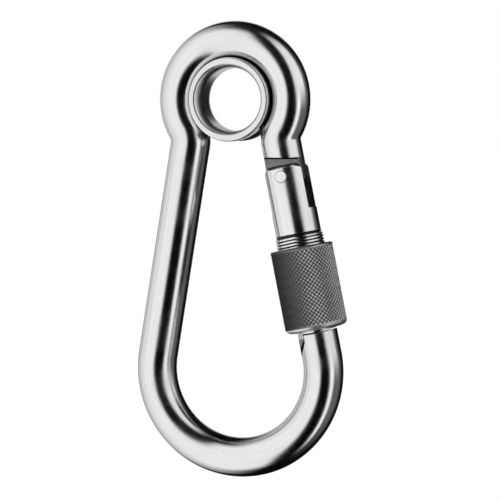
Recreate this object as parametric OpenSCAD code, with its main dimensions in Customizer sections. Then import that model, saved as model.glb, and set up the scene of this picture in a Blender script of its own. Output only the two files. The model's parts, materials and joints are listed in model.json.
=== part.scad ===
// Screw-lock snap hook for keys: a bent round bar with a lined eye, a sprung
// swinging gate and a knurled locking sleeve.  Millimetres.
// The origin is the centre of the lined eye.  +Z runs up along the hook, +Y is
// the eye's axis and +X is the side of the gate.

/* [Bar] */
// Diameter of the round bar
bar_d = 7; // [5.8:0.1:7.2]
// Radius of the eye, to the middle of the bar
eye_r = 10.2; // [9.8:0.1:10.6]
// Radius of the lower bow, to the middle of the bar
bow_r = 15.4; // [15:0.1:18.5]
// Distance between the centres of the eye and the bow
span = 47.4; // [46.8:0.1:58]
// Lean of both legs away from the hook's long axis, in degrees
leg_lean = 10.4; // [9:0.1:12]
// Radius of the reverse bend below the eye, to the middle of the bar
neck_r = 4; // [3.8:0.1:5]

/* [Eye thimble] */
// Diameter of the straight middle of the bore
thimble_bore_d = 11; // [9:0.1:12]
// Length of the straight middle of the bore
thimble_waist = 2.8; // [2:0.1:4]
// Width of the thimble along its axis
thimble_w = 7.8; // [7:0.1:10]
// Outer diameter of the two rolled rims
rim_d = 14.6; // [13.8:0.1:15]
// Width of the flat ring on each rim's face
rim_flat = 0.7; // [0.3:0.1:0.8]

/* [Hinge] */
// Distance from the lower end of the neck's bend down to the hinge
hinge_below_bend = 5.8; // [4.6:0.1:6.4]
// Diameter of the hinge rivet
rivet_d = 2.2; // [1.6:0.1:2.4]
// Thickness of the tenon that carries the rivet
tenon_t = 4.1; // [3.4:0.1:4.4]
// Height of the bar's end face above the rivet, on the bar's axis
shoulder_up = 3.3; // [3.1:0.1:4]
// Tilt of the bar's end face, higher on the inner side, in degrees
shoulder_tilt = 11; // [0:1:15]
// Radius of the tenon's rounded tail
tail_r = 2.2; // [2:0.1:2.6]
// Distance of the tail's pushing lobe from the gate's axis
lobe_arm = 1.4; // [1:0.1:1.6]

/* [Gate] */
// Diameter of the gate's plain barrel
barrel_d = 8; // [7.4:0.1:8.4]
// Height of the barrel's top above the rivet
barrel_up = 1.9; // [1.5:0.1:2]
// Radius of the rounded corners at the barrel's top
crown_r = 1.6; // [1.4:0.1:2]
// Depth of the fork slot below the rivet
slot_down = 6.1; // [5:0.1:7]
// Distance from the rivet to the top of the thread
thread_top = 10.4; // [9:0.1:11]
// Length of the thread
thread_len = 13; // [12:0.1:15]
// Diameter over the thread's crests
thread_d = 8.5; // [8.5:0.1:9]
// Distance from the rivet to the gate's rounded end
gate_end = 27.5; // [27.4:0.1:29.5]
// How far the inner lip reaches past the gate's end
lip_len = 0.8; // [0.6:0.1:1.2]
// Distance of the lip's contact face from the gate's axis
lip_face = 1.8; // [1.4:0.1:2.2]
// Thickness of the nose tongue that the lip straddles
tongue_t = 2.8; // [2:0.1:3.4]

/* [Spring and plunger] */
// Diameter of the blind bore for the spring
spring_bore_d = 3.7; // [3.2:0.1:4]
// Depth of the blind bore below the fork slot
spring_bore_depth = 10.4; // [9:0.1:12]
// Length of the plunger's guided head
plunger_len = 5.2; // [4.6:0.1:6]
// Diameter of the plunger's stem inside the spring
stem_d = 1.8; // [1.2:0.1:2]
// Length of the plunger's stem
stem_len = 3; // [2:0.1:4]
// Diameter of the spring's wire
wire_d = 0.5; // [0.4:0.05:0.6]
// Number of coils in the spring
coils = 9; // [6:1:10]

/* [Locking sleeve] */
// Diameter of the sleeve
sleeve_d = 11; // [10.6:0.1:12]
// Length of the sleeve
sleeve_len = 14.7; // [12:0.1:15]
// Distance that the sleeve's lower end stays short of the gate's end
sleeve_short = 0.3; // [0.2:0.1:1]
// Length of the narrow mouth at the sleeve's lower end
mouth_len = 1.4; // [1:0.1:2]

/* [Fits] */
// Radial clearance of the rivet in the tenon
rivet_gap = 0.04; // [0.02:0.01:0.08]
// Side clearance of the tenon in the fork slot, and of the tongue in the lip
side_gap = 0.1; // [0.05:0.01:0.2]
// Radial clearance of the plunger in its bore
plunger_gap = 0.05; // [0.02:0.01:0.1]
// Clearance between the tail's lobe and the plunger's head
lobe_gap = 0.03; // [0.02:0.01:0.05]
// Radial clearance of the sleeve over the thread's crests
sleeve_gap = 0.05; // [0.03:0.01:0.1]
// Radial clearance of the sleeve's mouth over the bar
mouth_gap = 0.2; // [0.1:0.05:0.3]
// Clearance between the gate's end and the nose
nose_gap = 0.15; // [0.1:0.01:0.3]
// Clearance between the thimble and the eye
thimble_gap = 0.03; // [0.01:0.01:0.1]

/* [Hidden] */
$fn = 96;
bar_r = bar_d / 2;
far = 60;
// Bends are a hair thinner than the straight rods, which reach a little way into
// them, so that each joint is one clean step
seam = 0.02;
lap = 0.1;

// The right leg's axis is tangent to the bow, and passes leg_off from the eye's
// centre.  bend_len is how far below that nearest point the neck's bend ends.
bow_touch = [bow_r * cos(leg_lean), -span + bow_r * sin(leg_lean)];
leg_off = bow_touch.x * cos(leg_lean) + bow_touch.y * sin(leg_lean);
bend_len = sqrt(pow(eye_r + neck_r, 2) - pow(leg_off + neck_r, 2));
leg_len = bow_touch.x * sin(leg_lean) - bow_touch.y * cos(leg_lean) - bend_len;
neck_c = [(leg_off + neck_r) * cos(leg_lean) + bend_len * sin(leg_lean),
          (leg_off + neck_r) * sin(leg_lean) - bend_len * cos(leg_lean)];
neck_dip = -atan2(neck_c.y, neck_c.x);

// The hinge lies on the leg's axis.  Along that axis, up is +Z of the leg's own
// frame and outwards is +X, with the hinge at its origin.
hinge_len = bend_len + hinge_below_bend;
hinge = [leg_off * cos(leg_lean) + hinge_len * sin(leg_lean),
         leg_off * sin(leg_lean) - hinge_len * cos(leg_lean)];
bend_up = hinge_below_bend;
touch_down = leg_len - hinge_below_bend;

slot_w = tenon_t + 2 * side_gap;
nose_r = gate_end + nose_gap;
lip_down = gate_end + lip_len;
notch_face = lip_face - nose_gap;
lip_slot_w = tongue_t + 2 * side_gap;
lip_slot_top = gate_end - 3 * nose_gap;
notch_clear = 0.7;
notch_down = lip_down + notch_clear;
notch_slope = 57;
thread_bottom = thread_top + thread_len;
head_top = tail_r + lobe_gap;
plunger_r = spring_bore_d / 2 - plunger_gap;
spring_top = head_top + plunger_len;
bore_bottom = slot_down + spring_bore_depth;
spring_gap = 0.05;
spring_r = plunger_r - 2 * spring_gap - wire_d / 2;
sleeve_bottom = gate_end - sleeve_short;
sleeve_r = sleeve_d / 2;
mouth_r = bar_r + mouth_gap;
mouth_wall = 0.3;
cone_h = 0.7;
cone_r = mouth_r + mouth_wall;
edge = 0.5;

// Places its children in the leg's own frame, with the hinge at the origin.
module on_leg() {
    translate([hinge.x, 0, hinge.y]) rotate([0, -leg_lean, 0]) children();
}

// A round bar on the leg's axis, from one height to another.
module rod(d, low, high) {
    translate([0, 0, low]) cylinder(d = d, h = high - low);
}

// An outline in X and Z carried along Y, middle on the hook's plane.
module across(width) {
    rotate([90, 0, 0]) linear_extrude(width, center = true) children();
}

// A bend of the bar about centre c, from angle a0 over the sweep.
module bend(c, radius, a0, sweep) {
    translate([c.x, 0, c.y]) rotate([90, 0, 0])
        rotate_extrude(angle = sweep, start = a0)
            translate([radius, 0]) circle(d = bar_d - 2 * seam);
}

// A short rod that joins two bends at angle a of the bend about centre c.
module joint(c, radius, a) {
    translate([c.x + radius * cos(a), 0, c.y + radius * sin(a)]) rotate([0, -a, 0])
        rod(bar_d, -lap, lap);
}

// Eye, necks, legs and bow, with the right leg left open for the gate.
module bent_bar() {
    bend([0, 0], eye_r, -neck_dip, 180 + 2 * neck_dip);
    bend([0, -span], bow_r, 180 - leg_lean, 180 + 2 * leg_lean);
    for (side = [0, 1]) mirror([side, 0, 0]) {
        bend(neck_c, neck_r, 180 - neck_dip, neck_dip + leg_lean);
        joint([0, 0], eye_r, -neck_dip);
    }
    mirror([1, 0, 0]) on_leg() rod(bar_d, -touch_down - lap, bend_up + lap);
}

// End of the bar above the hinge, with its tilted end face.
module shoulder() {
    difference() {
        rod(bar_d, 0, bend_up + lap);
        translate([0, 0, shoulder_up]) rotate([0, shoulder_tilt, 0])
            translate([-bar_d, -bar_d, -2 * bar_d]) cube(2 * bar_d);
    }
}

// Tenon outline: a stem as wide as the bar with a rounded tail below the rivet.
module tenon_outline() {
    for (side = [-1, 1]) translate([side * lobe_arm, 0]) circle(r = tail_r);
    translate([-lobe_arm, -tail_r]) square([2 * lobe_arm, tail_r]);
    translate([-lobe_arm - tail_r, 0]) square([2 * (lobe_arm + tail_r), bend_up]);
}

module tenon() {
    difference() {
        intersection() {
            rod(bar_d - 2 * seam, -tail_r - 1, bend_up - lap);
            across(tenon_t) tenon_outline();
        }
        across(far) circle(d = rivet_d + 2 * rivet_gap);
    }
}

// Region cut from the inner side of the nose, down to a slanted floor.
module notch_outline() {
    run = bar_d;
    polygon([[-notch_face, 0], [-notch_face, -notch_down],
             [-notch_face - run, -notch_down - run * tan(notch_slope)], [-notch_face - run, 0]]);
}

// Nose below the gate: its end follows the gate's swing, and a tongue stands in
// the notch on its inner side.
module nose() {
    difference() {
        rod(bar_d, -touch_down - lap, -gate_end + bar_d);
        across(far) circle(r = nose_r, $fn = 360);
        for (side = [-1, 1]) translate([0, side * (far + tongue_t) / 2, 0])
            across(far) notch_outline();
    }
}

module hook_body() {
    color([0.80, 0.80, 0.81]) {
        bent_bar();
        on_leg() {
            shoulder();
            tenon();
            nose();
        }
    }
}

// Flared lining of the eye, revolved about the eye's axis.
module eye_thimble() {
    inner = thimble_bore_d / 2;
    waist = thimble_waist / 2;
    half = thimble_w / 2;
    rim = rim_d / 2;
    seat = eye_r - bar_r - thimble_gap;
    rolled = 0.3;
    // Where the rim's cylinder stands clear of the round bar
    rim_y = sqrt(pow(bar_r, 2) - pow(eye_r - rim, 2)) + thimble_gap;
    half_outline = [[inner, waist], [rim - rim_flat, half], [rim - rolled / 3, half],
                    [rim, half - rolled], [rim, rim_y + rolled], [seat, rim_y * 0.3]];
    other = [for (i = [len(half_outline) - 1 : -1 : 0]) [half_outline[i].x, -half_outline[i].y]];
    color([0.86, 0.86, 0.87]) rotate([90, 0, 0])
        rotate_extrude() polygon(concat(half_outline, other));
}

// Barrel outline with two rounded corners at the top.
module crown_outline() {
    edge_x = barrel_d / 2 - crown_r;
    for (side = [-1, 1]) translate([side * edge_x, barrel_up - crown_r]) circle(r = crown_r);
    translate([-edge_x, -far]) square([2 * edge_x, far + barrel_up]);
    translate([-barrel_d / 2, -far]) square([barrel_d, far + barrel_up - crown_r]);
}

// Lower end of the gate: an arc about the hinge, and the lip on the inner side.
module end_outline() {
    circle(r = gate_end, $fn = 360);
    translate([-barrel_d, -lip_down]) square([barrel_d - lip_face, lip_down]);
}

module gate_solid() {
    intersection() {
        rod(barrel_d, -thread_top - 1, barrel_up + 1);
        across(2 * barrel_d) crown_outline();
    }
    crest = thread_d / 2;
    run_out = crest - barrel_d / 2;
    translate([0, 0, -thread_bottom]) rotate_extrude() polygon([[0, 0], [crest - edge, 0],
        [crest, edge], [crest, thread_len - run_out], [crest - run_out, thread_len], [0, thread_len]]);
    intersection() {
        rod(bar_d, -lip_down - 1, -thread_bottom + 1);
        across(2 * barrel_d) end_outline();
    }
}

module gate_barrel() {
    color([0.82, 0.82, 0.83]) on_leg() difference() {
        gate_solid();
        translate([-far / 2, -slot_w / 2, -slot_down]) cube([far, slot_w, far]);
        rod(spring_bore_d, -bore_bottom, 0);
        across(far) circle(d = rivet_d);
        translate([-barrel_d, -lip_slot_w / 2, -lip_down - 1])
            cube([barrel_d, lip_slot_w, lip_down + 1 - lip_slot_top]);
    }
}

// Rivet through fork and tenon, its two ends dressed flush with the barrel.
module hinge_rivet() {
    color([0.75, 0.75, 0.76]) on_leg() intersection() {
        across(barrel_d) circle(d = rivet_d);
        rod(barrel_d, -rivet_d, rivet_d);
    }
}

// Headed plunger that presses on the tenon's tail.
module spring_plunger() {
    bevel = 0.15;
    color([0.30, 0.30, 0.31]) on_leg() {
        translate([0, 0, -spring_top]) rotate_extrude() polygon([[0, 0], [plunger_r - bevel, 0],
            [plunger_r, bevel], [plunger_r, plunger_len - bevel],
            [plunger_r - bevel, plunger_len], [0, plunger_len]]);
        rod(stem_d, -spring_top - stem_len, -spring_top + 1);
    }
}

// Compression spring: a round wire swept along a helix, with its coils evenly
// spaced between the plunger and the bottom of the bore.
module gate_spring() {
    sides = 8;
    steps = 20 * coils;
    low = -bore_bottom + wire_d / 2 + spring_gap;
    high = -spring_top - wire_d / 2 - spring_gap;
    ring = [for (i = [0 : steps]) let (a = 360 * coils * i / steps, z = low + (high - low) * i / steps)
        for (j = [0 : sides - 1]) let (b = 360 * j / sides, r = spring_r + wire_d / 2 * cos(b))
            [r * cos(a), r * sin(a), z + wire_d / 2 * sin(b)]];
    skin = [for (i = [0 : steps - 1]) for (j = [0 : sides - 1])
        [i * sides + j, (i + 1) * sides + j, (i + 1) * sides + (j + 1) % sides, i * sides + (j + 1) % sides]];
    caps = [[for (j = [0 : sides - 1]) j],
            [for (j = [sides - 1 : -1 : 0]) steps * sides + j]];
    color([0.45, 0.45, 0.46]) on_leg() polyhedron(ring, concat(skin, caps));
}

// Locking sleeve: a plain bore over the thread and a narrow mouth that slides
// over the nose.
module lock_sleeve() {
    bore = thread_d / 2 + sleeve_gap;
    color([0.28, 0.28, 0.29]) on_leg() translate([0, 0, -sleeve_bottom]) rotate_extrude()
        polygon([[mouth_r, 0], [cone_r, 0], [sleeve_r, cone_h], [sleeve_r, sleeve_len - edge],
                 [sleeve_r - edge, sleeve_len], [bore, sleeve_len], [bore, mouth_len + edge],
                 [mouth_r, mouth_len]]);
}

hook_body();
eye_thimble();
gate_barrel();
hinge_rivet();
spring_plunger();
gate_spring();
lock_sleeve();
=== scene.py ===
"""Detailed pieces, steel finishes and a plain studio for a screw-lock snap hook.

Everything is in metres, in the hook's own frame: the origin is the centre of the
lined eye, +Z runs up along the hook, +Y is the eye's axis and +X is the gate's side.
"""

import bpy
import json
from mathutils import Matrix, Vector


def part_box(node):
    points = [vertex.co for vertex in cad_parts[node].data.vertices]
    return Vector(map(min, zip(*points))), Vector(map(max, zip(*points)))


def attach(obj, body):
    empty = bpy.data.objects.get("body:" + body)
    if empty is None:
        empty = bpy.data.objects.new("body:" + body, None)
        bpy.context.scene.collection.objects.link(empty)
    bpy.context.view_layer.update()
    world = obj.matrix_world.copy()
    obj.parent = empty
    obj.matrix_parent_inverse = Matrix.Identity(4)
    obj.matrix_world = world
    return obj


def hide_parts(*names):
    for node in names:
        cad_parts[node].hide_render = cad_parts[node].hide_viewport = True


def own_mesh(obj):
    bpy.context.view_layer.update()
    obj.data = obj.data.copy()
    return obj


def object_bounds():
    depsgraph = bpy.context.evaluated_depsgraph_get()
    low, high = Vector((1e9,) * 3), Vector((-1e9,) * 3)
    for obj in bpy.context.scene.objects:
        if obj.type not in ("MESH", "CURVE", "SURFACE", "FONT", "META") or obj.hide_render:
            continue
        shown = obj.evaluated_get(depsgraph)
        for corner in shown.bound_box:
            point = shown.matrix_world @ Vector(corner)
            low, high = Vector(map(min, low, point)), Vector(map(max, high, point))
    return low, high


bl_info = {
    "name": "Screw-Lock Snap Hook",
    "version": (1, 0, 0),
    "blender": (4, 5, 0),
    "location": "3D View > Sidebar > Snap Hook",
    "description": "Builds the pieces, finishes and studio of a screw-lock snap hook",
    "category": "Object",
}

import json
import math

import bpy
import numpy as np
from bpy.props import FloatProperty, FloatVectorProperty, IntProperty, PointerProperty
from mathutils import Quaternion, Vector

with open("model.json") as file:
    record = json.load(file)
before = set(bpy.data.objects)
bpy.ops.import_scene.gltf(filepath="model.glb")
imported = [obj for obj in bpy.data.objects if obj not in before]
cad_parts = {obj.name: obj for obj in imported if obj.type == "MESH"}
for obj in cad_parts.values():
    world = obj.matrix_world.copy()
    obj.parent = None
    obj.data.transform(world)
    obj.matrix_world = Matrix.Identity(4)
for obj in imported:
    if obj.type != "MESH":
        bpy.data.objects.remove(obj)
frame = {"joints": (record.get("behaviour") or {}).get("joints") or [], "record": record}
CAD_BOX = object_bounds()

MM = 0.001
TURN = 2 * math.pi
QUARTER = math.pi / 2
ON_ROUND = 0.004 * MM  # how near its radius a point of a turned face lies
FACES_OUT = 0.97  # least cosine between a turned face's normal and straight out
CUT_RUN, CUT_WIDE = 8 * MM, 6 * MM  # how far cutters reach along OUT and ACROSS, past any piece
FLOOR_HALF = 6.0  # half the floor's width, in metres
JOINTS = {joint["name"]: joint for joint in frame["joints"]}
MOUNTS = {mount["name"]: mount for mount in frame["record"]["mounts"]}

# The gate's own frame: the hinge is its origin, UP runs along the leg and OUT across it.
HINGE = np.array(JOINTS["gate_swing"]["pos_m"], float)
UP = np.array(JOINTS["sleeve_travel"]["axis"], float)
OUT = np.array([UP[2], 0, -UP[0]])
ACROSS = np.array([0, 1.0, 0])
LEAN = math.atan2(-UP[0], UP[2])


# ---------------------------------------------------------------- sizes and colours

def length(name, description, millimetres):
    """A length property, given in millimetres and held in metres."""
    return FloatProperty(name=name, description=description, default=millimetres * MM,
                         min=0, precision=5, unit="LENGTH", subtype="DISTANCE")


def share(name, description, default):
    """A plain number from 0 to 1."""
    return FloatProperty(name=name, description=description, default=default, min=0, max=1)


def turn(name, description, degrees):
    """An angle property, given in degrees and held in radians."""
    return FloatProperty(name=name, description=description, default=math.radians(degrees),
                         unit="ROTATION", subtype="ANGLE")


def tint(name, description, red, green, blue):
    """A colour property."""
    return FloatVectorProperty(name=name, description=description, default=(red, green, blue),
                               size=3, min=0, max=1, subtype="COLOR")


class BarSizes(bpy.types.PropertyGroup):
    """Sizes of the bent round bar, its tenon and its nose."""
    bar_d: length("Bar diameter", "Diameter of the round bar", 7)
    eye_r: length("Eye radius", "Radius of the eye, to the middle of the bar", 10.2)
    bow_r: length("Bow radius", "Radius of the lower bow, to the middle of the bar", 15.4)
    span: length("Span", "Distance between the centres of the eye and the bow", 47.4)
    neck_r: length("Neck radius", "Radius of the reverse bend below the eye", 4)
    shoulder_up: length("Shoulder height", "Height of the bar's end face above the hinge", 3.3)
    shoulder_tilt: turn("Shoulder tilt", "Tilt of the bar's end face", 11)
    tenon_t: length("Tenon thickness", "Thickness of the tenon that carries the rivet", 4.1)
    tail_r: length("Tail radius", "Radius of the tenon's rounded tail", 2.2)
    lobe_arm: length("Lobe offset", "Distance of the tail's lobe from the gate's axis", 1.4)
    rivet_hole_d: length("Rivet hole", "Diameter of the hole through the tenon", 2.28)
    nose_r: length("Nose arc", "Distance from the hinge to the nose's end", 27.65)
    notch_face: length("Notch face", "Distance of the notch's face from the axis", 1.65)
    notch_down: length("Notch depth", "Distance from the hinge to the notch's floor", 29)
    notch_slope: turn("Notch slope", "Slope of the notch's floor", 57)
    tongue_t: length("Tongue thickness", "Thickness of the tongue in the notch", 2.8)
    corner_w: length("Corner groove", "Depth of the grooves in the inner corners", 0.25)
    corner_rise: length("Corner rise", "Height of the groove above the notch's floor", 1.5)
    edge: length("Edge", "Radius of the dressed edges at the bar's two ends", 0.18)


class ThimbleSizes(bpy.types.PropertyGroup):
    """Sizes of the eye's flared lining."""
    waist: length("Waist", "Length of the straight middle of the bore", 2.8)
    rim_flat: length("Rim flat", "Width of the flat ring on each rim", 0.45)
    roll: length("Roll", "Radius of the rim's rolled edge", 0.4)
    gap: length("Gap", "Clearance between the lining and the bar", 0.03)


class GateSizes(bpy.types.PropertyGroup):
    """Sizes of the swinging gate and its rivet."""
    barrel_d: length("Barrel diameter", "Diameter of the plain barrel", 8)
    barrel_up: length("Barrel top", "Height of the barrel's top above the hinge", 1.9)
    crown_r: length("Crown radius", "Radius of the barrel's rounded top corners", 1.6)
    slot_w: length("Slot width", "Width of the fork slot", 4.3)
    slot_down: length("Slot depth", "Depth of the fork slot below the hinge", 6.1)
    bore_d: length("Bore diameter", "Diameter of the spring's bore", 3.7)
    bore_down: length("Bore depth", "Depth of the spring's bore below the hinge", 16.5)
    thread_top: length("Thread top", "Distance from the hinge to the thread", 10.4)
    thread_len: length("Thread length", "Length of the thread", 13)
    thread_d: length("Thread diameter", "Diameter over the thread's crests", 8.5)
    thread_pitch: length("Thread pitch", "Distance between the thread's turns", 0.55)
    relief_h: length("Relief", "Height of the relief groove above the thread", 0.25)
    thread_depth: length("Thread depth", "Depth of the thread", 0.28)
    end_r: length("End arc", "Distance from the hinge to the gate's rounded end", 27.5)
    lip_down: length("Lip", "Distance from the hinge to the lip's end", 28.3)
    lip_face: length("Lip face", "Distance of the lip's face from the axis", 1.8)
    lip_slot_w: length("Lip slot", "Width of the slot that straddles the tongue", 3)
    lip_slot_down: length("Lip slot top", "Distance from the hinge to the lip slot's top", 27.05)
    rivet_d: length("Rivet diameter", "Diameter of the hinge rivet", 2.2)
    rivet_crown: length("Rivet crown", "Height that the rivet's ends stand proud", 0.04)
    chamfer: length("Chamfer", "Chamfer round the barrel's top", 0.5)
    edge: length("Edge", "Radius of the gate's dressed edges", 0.12)


class SpringSizes(bpy.types.PropertyGroup):
    """Sizes of the plunger and its spring, inside the gate."""
    plunger_top: length("Plunger top", "Distance from the hinge to the plunger's head", 2.23)
    plunger_len: length("Plunger length", "Length of the plunger's head", 5.2)
    plunger_d: length("Plunger diameter", "Diameter of the plunger's head", 3.6)
    groove: length("Groove", "Depth of the oil grooves in the plunger's head", 0.12)
    stem_d: length("Stem diameter", "Diameter of the plunger's stem", 1.8)
    stem_len: length("Stem length", "Length of the plunger's stem", 3)
    wire_d: length("Wire diameter", "Diameter of the spring's wire", 0.5)
    spring_d: length("Spring diameter", "Diameter to the middle of the wire", 2.9)
    gap: length("Gap", "Clearance at the spring's two ends", 0.05)
    coils: IntProperty(name="Coils", description="Number of coils", default=9, min=4, max=12)


class SleeveSizes(bpy.types.PropertyGroup):
    """Sizes of the knurled locking sleeve."""
    sleeve_d: length("Sleeve diameter", "Diameter over the knurl's points", 11)
    sleeve_len: length("Sleeve length", "Length of the sleeve", 14.7)
    sleeve_down: length("Sleeve end", "Distance from the hinge to the sleeve's lower end", 27.2)
    mouth_d: length("Mouth diameter", "Diameter of the narrow mouth", 7.4)
    mouth_len: length("Mouth length", "Length of the narrow mouth", 1.4)
    mouth_wall: length("Mouth wall", "Width of the flat ring round the mouth", 0.3)
    band_h: length("Band height", "Height of the plain band below the knurl", 0.1)
    cone_h: length("Round height", "Height of the round-over at the lower end", 0.7)
    bore_d: length("Bore diameter", "Diameter of the bore over the thread", 8.6)
    edge: length("Edge", "Radius of the rounded upper edge", 0.35)
    knurl_depth: length("Knurl depth", "Depth of the knurl's grooves", 0.2)
    knurl_starts: IntProperty(name="Knurl starts", description="Grooves of each hand round the sleeve",
                              default=45, min=12, max=64)


class Finishes(bpy.types.PropertyGroup):
    """Colours and gloss of the steels."""
    bar: tint("Bar", "Polished bar", 0.90, 0.90, 0.905)
    gate: tint("Gate", "Polished gate", 0.92, 0.92, 0.92)
    thimble: tint("Thimble", "Rolled lining of the eye", 0.93, 0.93, 0.93)
    rivet: tint("Rivet", "Dressed end of the rivet", 0.96, 0.96, 0.96)
    # Dark partly because milled faces are dull and partly as painted shade on the slots, holes and cut
    # faces.
    milled: tint("Milled", "Unpolished milled faces", 0.21, 0.21, 0.205)
    # The sleeve's steel is bright; its dark look is painted shade, on one side and in the knurl's
    # grooves.
    sleeve: tint("Sleeve", "Blackened knurled sleeve", 0.92, 0.92, 0.925)
    faced: tint("Faced", "Bright turned end of the sleeve", 0.90, 0.90, 0.90)
    # The plunger's steel is given a dark colour.
    plunger: tint("Plunger", "Oiled plunger", 0.22, 0.21, 0.20)
    wire: tint("Wire", "Spring wire", 0.42, 0.42, 0.43)
    # Painted shade: the near-black colour that corners, slots, grooves and one side of the sleeve are
    # darkened towards.
    stain: tint("Painted shade", "Oil and dirt that collects in corners", 0.012, 0.0115, 0.011)
    polish: share("Polish", "Roughness of the polished steel", 0.145)


class Studio(bpy.types.PropertyGroup):
    """Camera, light and floor."""
    azimuth: turn("Azimuth", "Turn of the camera to the right of the hook's front", 18.5)
    elevation: turn("Elevation", "Height of the camera above the horizon", 3)
    roll: turn("Roll", "Turn of the camera about its own line of sight", -1)
    distance: length("Distance", "Distance from the camera to the hook", 486)
    lens: FloatProperty(name="Focal length", description="Focal length of the camera, in millimetres",
                        default=200, min=20)
    aim_x: FloatProperty(name="Aim across", description="Place that the camera looks at, across the hook",
                         default=0.0023, precision=5, unit="LENGTH")
    aim_z: FloatProperty(name="Aim height", description="Place that the camera looks at, along the hook",
                         default=-0.02635, precision=5, unit="LENGTH")
    floor_drop: length("Floor drop", "Distance from the hook's lowest point to the floor", 60)
    floor: tint("Floor", "Plain pale floor", 0.92, 0.92, 0.92)


class SnapHook(bpy.types.PropertyGroup):
    """Everything that a user can change."""
    bar: PointerProperty(type=BarSizes)
    thimble: PointerProperty(type=ThimbleSizes)
    gate: PointerProperty(type=GateSizes)
    spring: PointerProperty(type=SpringSizes)
    sleeve: PointerProperty(type=SleeveSizes)
    finishes: PointerProperty(type=Finishes)
    studio: PointerProperty(type=Studio)


def settings():
    """The scene's own snap hook settings."""
    return bpy.context.scene.snap_hook


# ---------------------------------------------------------------- places and outlines

def in_frame(local):
    """Places (out, across, up) in the gate's own frame as places in the hook's frame."""
    return HINGE + local[..., :1] * OUT + local[..., 1:2] * ACROSS + local[..., 2:] * UP


def in_gate(points):
    """Places in the hook's frame as places (out, across, up) in the gate's own frame."""
    offset = points - HINGE
    return np.stack([offset @ OUT, offset @ ACROSS, offset @ UP], -1)


def angles(count):
    """Evenly spaced angles of one full turn."""
    return np.arange(count) * TURN / count


def circle(radius, height, around):
    """A ring about the gate's axis: radius (cos a, sin a) at the given height."""
    a = angles(around)
    radius, height = np.broadcast_to(radius, a.shape), np.broadcast_to(height, a.shape)
    return np.stack([radius * np.cos(a), radius * np.sin(a), height], -1)


def between(first, last, count):
    """Rows that lead straight from one ring to another, without either of them."""
    t = np.linspace(0, 1, count + 2)[1:-1, None, None]
    return first + (last - first) * t


def arc(centre, radius, start, sweep, step=math.radians(1.6)):
    """Points and travel directions along a circle in the plane of X and Z: at angle a the
    point is centre + radius (cos a, sin a), from angle start over sweep."""
    a = start + sweep * np.linspace(0, 1, max(3, math.ceil(abs(sweep) / step)))
    ray = np.stack([np.cos(a), np.sin(a)], -1)
    ahead = np.sign(sweep) * np.stack([-np.sin(a), np.cos(a)], -1)
    return centre + radius * ray, ahead


def straight(first, last, step=0.8 * MM):
    """Points and travel directions along a straight line between two points."""
    first, last = np.array(first), np.array(last)
    gap = np.linalg.norm(last - first)
    t = np.linspace(0, 1, math.ceil(gap / step) + 1)[:, None]
    return first + (last - first) * t, np.repeat([(last - first) / gap], len(t), 0)


def end_face(radius, shape, sense, edge, around, rings=24, bends=5, chamfer=False):
    """Rows of a round bar's end face, from its middle out to its rim, about the gate's axis.
    At distance d and angle a the height is shape(x, y) at x = d cos a, y = d sin a.  Over the
    last bit, d = radius - edge + edge sin t, the face turns back by edge (1 - cos t), or by as
    much as d grows where the edge is a chamfer.  sense is 1 for a face that looks up and -1
    for one that looks down."""
    t = np.linspace(0, QUARTER, bends + 1)[1:]
    flat = np.linspace(0, radius - edge, rings + 1)[1:]
    d = np.concatenate([flat, radius - edge + edge * np.sin(t)])[:, None]
    bend = edge * (np.sin(t) if chamfer else 1 - np.cos(t))
    back = np.concatenate([np.zeros(rings), bend])[:, None]
    a = angles(around)
    x, y = d * np.cos(a), d * np.sin(a)
    return np.stack([x, y, shape(x, y) - sense * back], -1)


# ---------------------------------------------------------------- mesh tools

def mesh_from(name, points, quads, triangles=()):
    """A mesh from arrays of points and corner numbers, turned so that its faces look out: the
    sum of p0 . (p1 x p2) over its triangles, six times its volume, is made positive."""
    quads, triangles = np.reshape(quads, (-1, 4)), np.reshape(triangles, (-1, 3)).astype(int)
    halves = np.concatenate([quads[:, [0, 1, 2]], quads[:, [0, 2, 3]], triangles])
    p0, p1, p2 = (points[halves[:, i]] for i in range(3))
    if np.einsum("ij,ij->", p0, np.cross(p1, p2)) < 0:
        quads, triangles = quads[:, ::-1], triangles[:, ::-1]
    mesh = bpy.data.meshes.new(name)
    mesh.vertices.add(len(points))
    mesh.vertices.foreach_set("co", points.astype(np.float32).ravel())
    corners = np.concatenate([quads.ravel(), triangles.ravel()])
    starts = np.concatenate([4 * np.arange(len(quads)), 4 * len(quads) + 3 * np.arange(len(triangles))])
    mesh.loops.add(len(corners))
    mesh.loops.foreach_set("vertex_index", corners.astype(np.int32))
    mesh.polygons.add(len(starts))
    mesh.polygons.foreach_set("loop_start", starts.astype(np.int32))
    mesh.update(calc_edges=True)
    mesh.validate()
    return mesh


def lattice(rows, columns, wrap_rows):
    """Corner numbers of the quads of a grid whose columns close into a ring."""
    number = np.arange(rows * columns).reshape(rows, columns)
    if wrap_rows:
        number = np.concatenate([number, number[:1]])
    low, high = number[:-1], number[1:]
    return np.stack([low, np.roll(low, -1, 1), np.roll(high, -1, 1), high], -1)


def add_piece(name, mesh, finish=None):
    """Puts a mesh into the scene as an object at the origin, with its main finish."""
    if finish:
        mesh.materials.append(finish)
    piece = bpy.data.objects.new(name, mesh)
    bpy.context.scene.collection.objects.link(piece)
    return piece


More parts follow.
